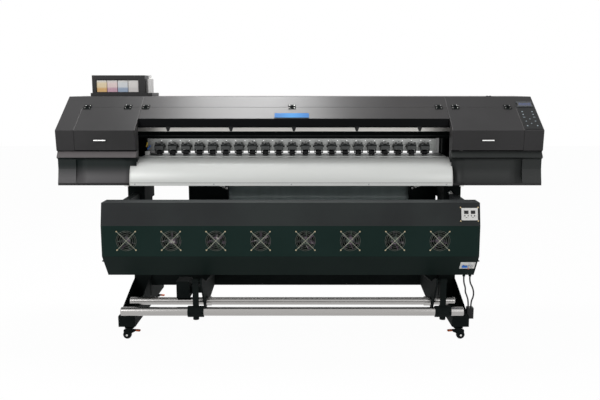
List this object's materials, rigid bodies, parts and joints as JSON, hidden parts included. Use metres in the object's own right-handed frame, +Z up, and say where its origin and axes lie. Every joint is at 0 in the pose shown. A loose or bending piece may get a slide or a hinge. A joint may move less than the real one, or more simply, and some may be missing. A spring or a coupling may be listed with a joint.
{
  "type": "printer cutter",
  "caption": "Wide roll-fed printer cutter on a castored stand, with side cabinets, hinged lids, pinch roller row, fan dryer, take-up and dancer bar.",
  "frame": {"origin": "on the floor, under the middle of the machine", "axes": "+X towards the operator's right, -Y towards the operator, +Z up"},
  "size_m": [2.85, 0.986, 1.552],
  "materials": {
    "charcoal_sheet": "fine textured powder coat",
    "black_steel": "black powder coat",
    "white_plastic": "gloss",
    "black_plastic": "satin",
    "aluminium": "anodised",
    "silver_guide": "satin silver",
    "polished_tube": "polished",
    "rubber": "matt",
    "wheel_rubber": "matt",
    "blue_badge": "gloss",
    "ink": "gloss",
    "screen": "gloss",
    "guard_wire": "bright wire",
    "media": "coated film",
    "cable_sheath": "matt",
    "steel": "brushed"
  },
  "bodies": {
    "machine": {"left_leg": "black_steel", "right_leg": "black_steel", "stand_beam": "black_steel", "chassis_beam": "black_steel", "platen": "aluminium", "paper_guide": "silver_guide", "rail_beam": "black_steel", "guide_rail": "steel", "encoder_strip": "steel", "pinch_beam": "aluminium", "left_cabinet": "charcoal_sheet", "right_cabinet": "charcoal_sheet", "rear_cover": "charcoal_sheet", "hinge_leaves": "black_steel", "ink_rack": "charcoal_sheet", "ink_tanks": "ink", "control_panel": "black_plastic", "display": "screen", "dryer_shell": "charcoal_sheet", "fan_frames": "black_plastic", "fan_guards": "guard_wire", "socket_panel": "white_plastic", "breaker_body": "white_plastic", "take_up_units": "black_steel", "media_holders": "black_steel", "outer_cable": "cable_sheath", "inner_cable": "cable_sheath", "cable_plug_box": "black_plastic"},
    "left_lid": {"left_lid": "charcoal_sheet", "left_lid_handle": "polished_tube"},
    "right_lid": {"right_lid": "charcoal_sheet", "right_lid_handle": "polished_tube"},
    "front_cover": {"front_cover": "charcoal_sheet", "badge_plate": "blue_badge"},
    "carriage": {"carriage": "black_plastic"},
    "drive_roller": {"drive_roller": "steel"},
    "pinch_arms": {"pinch_arms": "aluminium"},
    "pinch_rollers": {"pinch_rollers": "rubber"},
    "lift_lever": {"lift_lever": "black_steel"},
    "breaker_toggle": {"breaker_toggle": "white_plastic"},
    "take_up_tube": {"take_up_tube": "polished_tube"},
    "dancer": {"dancer_arms": "black_steel", "dancer_tube": "polished_tube"},
    "media_roll": {"media_roll": "media"},
    "fan_rotor_1": {"fan_rotor_1": "black_plastic"},
    "fan_rotor_2": {"fan_rotor_2": "black_plastic"},
    "fan_rotor_3": {"fan_rotor_3": "black_plastic"},
    "fan_rotor_4": {"fan_rotor_4": "black_plastic"},
    "fan_rotor_5": {"fan_rotor_5": "black_plastic"},
    "fan_rotor_6": {"fan_rotor_6": "black_plastic"},
    "fan_rotor_7": {"fan_rotor_7": "black_plastic"},
    "fan_rotor_8": {"fan_rotor_8": "black_plastic"},
    "caster_fork_front_left": {"caster_fork_front_left": "black_steel"},
    "caster_wheel_front_left": {"caster_wheel_front_left": "wheel_rubber"},
    "caster_fork_front_right": {"caster_fork_front_right": "black_steel"},
    "caster_wheel_front_right": {"caster_wheel_front_right": "wheel_rubber"},
    "caster_fork_rear_left": {"caster_fork_rear_left": "black_steel"},
    "caster_wheel_rear_left": {"caster_wheel_rear_left": "wheel_rubber"},
    "caster_fork_rear_right": {"caster_fork_rear_right": "black_steel"},
    "caster_wheel_rear_right": {"caster_wheel_rear_right": "wheel_rubber"}
  },
  "joints": [
    {"name": "left_lid_hinge", "type": "hinge", "parent": "machine", "child": "left_lid", "pos_m": [-1.14, -0.01794, 1.36146], "axis": [-1, 0, 0], "range_deg": [0, 75]},
    {"name": "right_lid_hinge", "type": "hinge", "parent": "machine", "child": "right_lid", "pos_m": [1.1, -0.01794, 1.36146], "axis": [-1, 0, 0], "range_deg": [0, 75]},
    {"name": "front_cover_hinge", "type": "hinge", "parent": "machine", "child": "front_cover", "pos_m": [-0.035, -0.01794, 1.36146], "axis": [-1, 0, 0], "range_deg": [0, 75]},
    {"name": "carriage_travel", "type": "slide", "parent": "machine", "child": "carriage", "axis": [1, 0, 0], "range_m": [-2.12, 0.06]},
    {"name": "drive_roller_spin", "type": "hinge", "parent": "machine", "child": "drive_roller", "pos_m": [-0.035, 0.045, 1.0527], "axis": [1, 0, 0], "continuous": true},
    {"name": "pinch_lift", "type": "hinge", "parent": "machine", "child": "pinch_arms", "pos_m": [-0.035, 0.084, 1.112], "axis": [-1, 0, 0], "range_deg": [0, 4]},
    {"name": "pinch_roller_spin", "type": "hinge", "parent": "pinch_arms", "child": "pinch_rollers", "pos_m": [-0.035, 0.045, 1.0785], "axis": [1, 0, 0], "continuous": true},
    {"name": "lever_turn", "type": "hinge", "parent": "machine", "child": "lift_lever", "pos_m": [-0.953, 0.185, 1.11], "axis": [1, 0, 0], "range_deg": [0, 60]},
    {"name": "breaker_switch", "type": "hinge", "parent": "machine", "child": "breaker_toggle", "pos_m": [0.935, -0.43361, 0.4738], "axis": [1, 0, 0], "range_deg": [0, 40]},
    {"name": "take_up_spin", "type": "hinge", "parent": "machine", "child": "take_up_tube", "pos_m": [-0.042, -0.31, 0.231], "axis": [1, 0, 0], "continuous": true},
    {"name": "dancer_swing", "type": "hinge", "parent": "machine", "child": "dancer", "pos_m": [-0.042, -0.458, 0.394], "axis": [-1, 0, 0], "range_deg": [-10, 35]},
    {"name": "media_roll_spin", "type": "hinge", "parent": "machine", "child": "media_roll", "pos_m": [0.078, 0.38, 0.745], "axis": [1, 0, 0], "continuous": true},
    {"name": "fan_spin_1", "type": "hinge", "parent": "machine", "child": "fan_rotor_1", "pos_m": [-0.962, -0.47, 0.632], "axis": [0, -1, 0], "continuous": true},
    {"name": "fan_spin_2", "type": "hinge", "parent": "machine", "child": "fan_rotor_2", "pos_m": [-0.713, -0.47, 0.632], "axis": [0, -1, 0], "continuous": true},
    {"name": "fan_spin_3", "type": "hinge", "parent": "machine", "child": "fan_rotor_3", "pos_m": [-0.464, -0.47, 0.632], "axis": [0, -1, 0], "continuous": true},
    {"name": "fan_spin_4", "type": "hinge", "parent": "machine", "child": "fan_rotor_4", "pos_m": [-0.215, -0.47, 0.632], "axis": [0, -1, 0], "continuous": true},
    {"name": "fan_spin_5", "type": "hinge", "parent": "machine", "child": "fan_rotor_5", "pos_m": [0.034, -0.47, 0.632], "axis": [0, -1, 0], "continuous": true},
    {"name": "fan_spin_6", "type": "hinge", "parent": "machine", "child": "fan_rotor_6", "pos_m": [0.283, -0.47, 0.632], "axis": [0, -1, 0], "continuous": true},
    {"name": "fan_spin_7", "type": "hinge", "parent": "machine", "child": "fan_rotor_7", "pos_m": [0.532, -0.47, 0.632], "axis": [0, -1, 0], "continuous": true},
    {"name": "fan_spin_8", "type": "hinge", "parent": "machine", "child": "fan_rotor_8", "pos_m": [0.781, -0.47, 0.632], "axis": [0, -1, 0], "continuous": true},
    {"name": "swivel_front_left", "type": "hinge", "parent": "machine", "child": "caster_fork_front_left", "pos_m": [-1.01, -0.31, 0.09], "axis": [0, 0, 1], "continuous": true},
    {"name": "roll_front_left", "type": "hinge", "parent": "caster_fork_front_left", "child": "caster_wheel_front_left", "pos_m": [-1.024, -0.31, 0.025], "axis": [0, 1, 0], "continuous": true},
    {"name": "swivel_front_right", "type": "hinge", "parent": "machine", "child": "caster_fork_front_right", "pos_m": [0.94, -0.31, 0.09], "axis": [0, 0, 1], "continuous": true},
    {"name": "roll_front_right", "type": "hinge", "parent": "caster_fork_front_right", "child": "caster_wheel_front_right", "pos_m": [0.954, -0.31, 0.025], "axis": [0, 1, 0], "continuous": true},
    {"name": "swivel_rear_left", "type": "hinge", "parent": "machine", "child": "caster_fork_rear_left", "pos_m": [-1.01, 0.41, 0.09], "axis": [0, 0, 1], "continuous": true},
    {"name": "roll_rear_left", "type": "hinge", "parent": "caster_fork_rear_left", "child": "caster_wheel_rear_left", "pos_m": [-1.024, 0.41, 0.025], "axis": [0, 1, 0], "continuous": true},
    {"name": "swivel_rear_right", "type": "hinge", "parent": "machine", "child": "caster_fork_rear_right", "pos_m": [0.94, 0.41, 0.09], "axis": [0, 0, 1], "continuous": true},
    {"name": "roll_rear_right", "type": "hinge", "parent": "caster_fork_rear_right", "child": "caster_wheel_rear_right", "pos_m": [0.954, 0.41, 0.025], "axis": [0, 1, 0], "continuous": true}
  ],
  "couplings": [
    {"joint": "pinch_lift", "follows": "lever_turn", "ratio": 0.0666},
    {"joint": "pinch_roller_spin", "follows": "drive_roller_spin", "ratio": -0.8889}
  ]
}
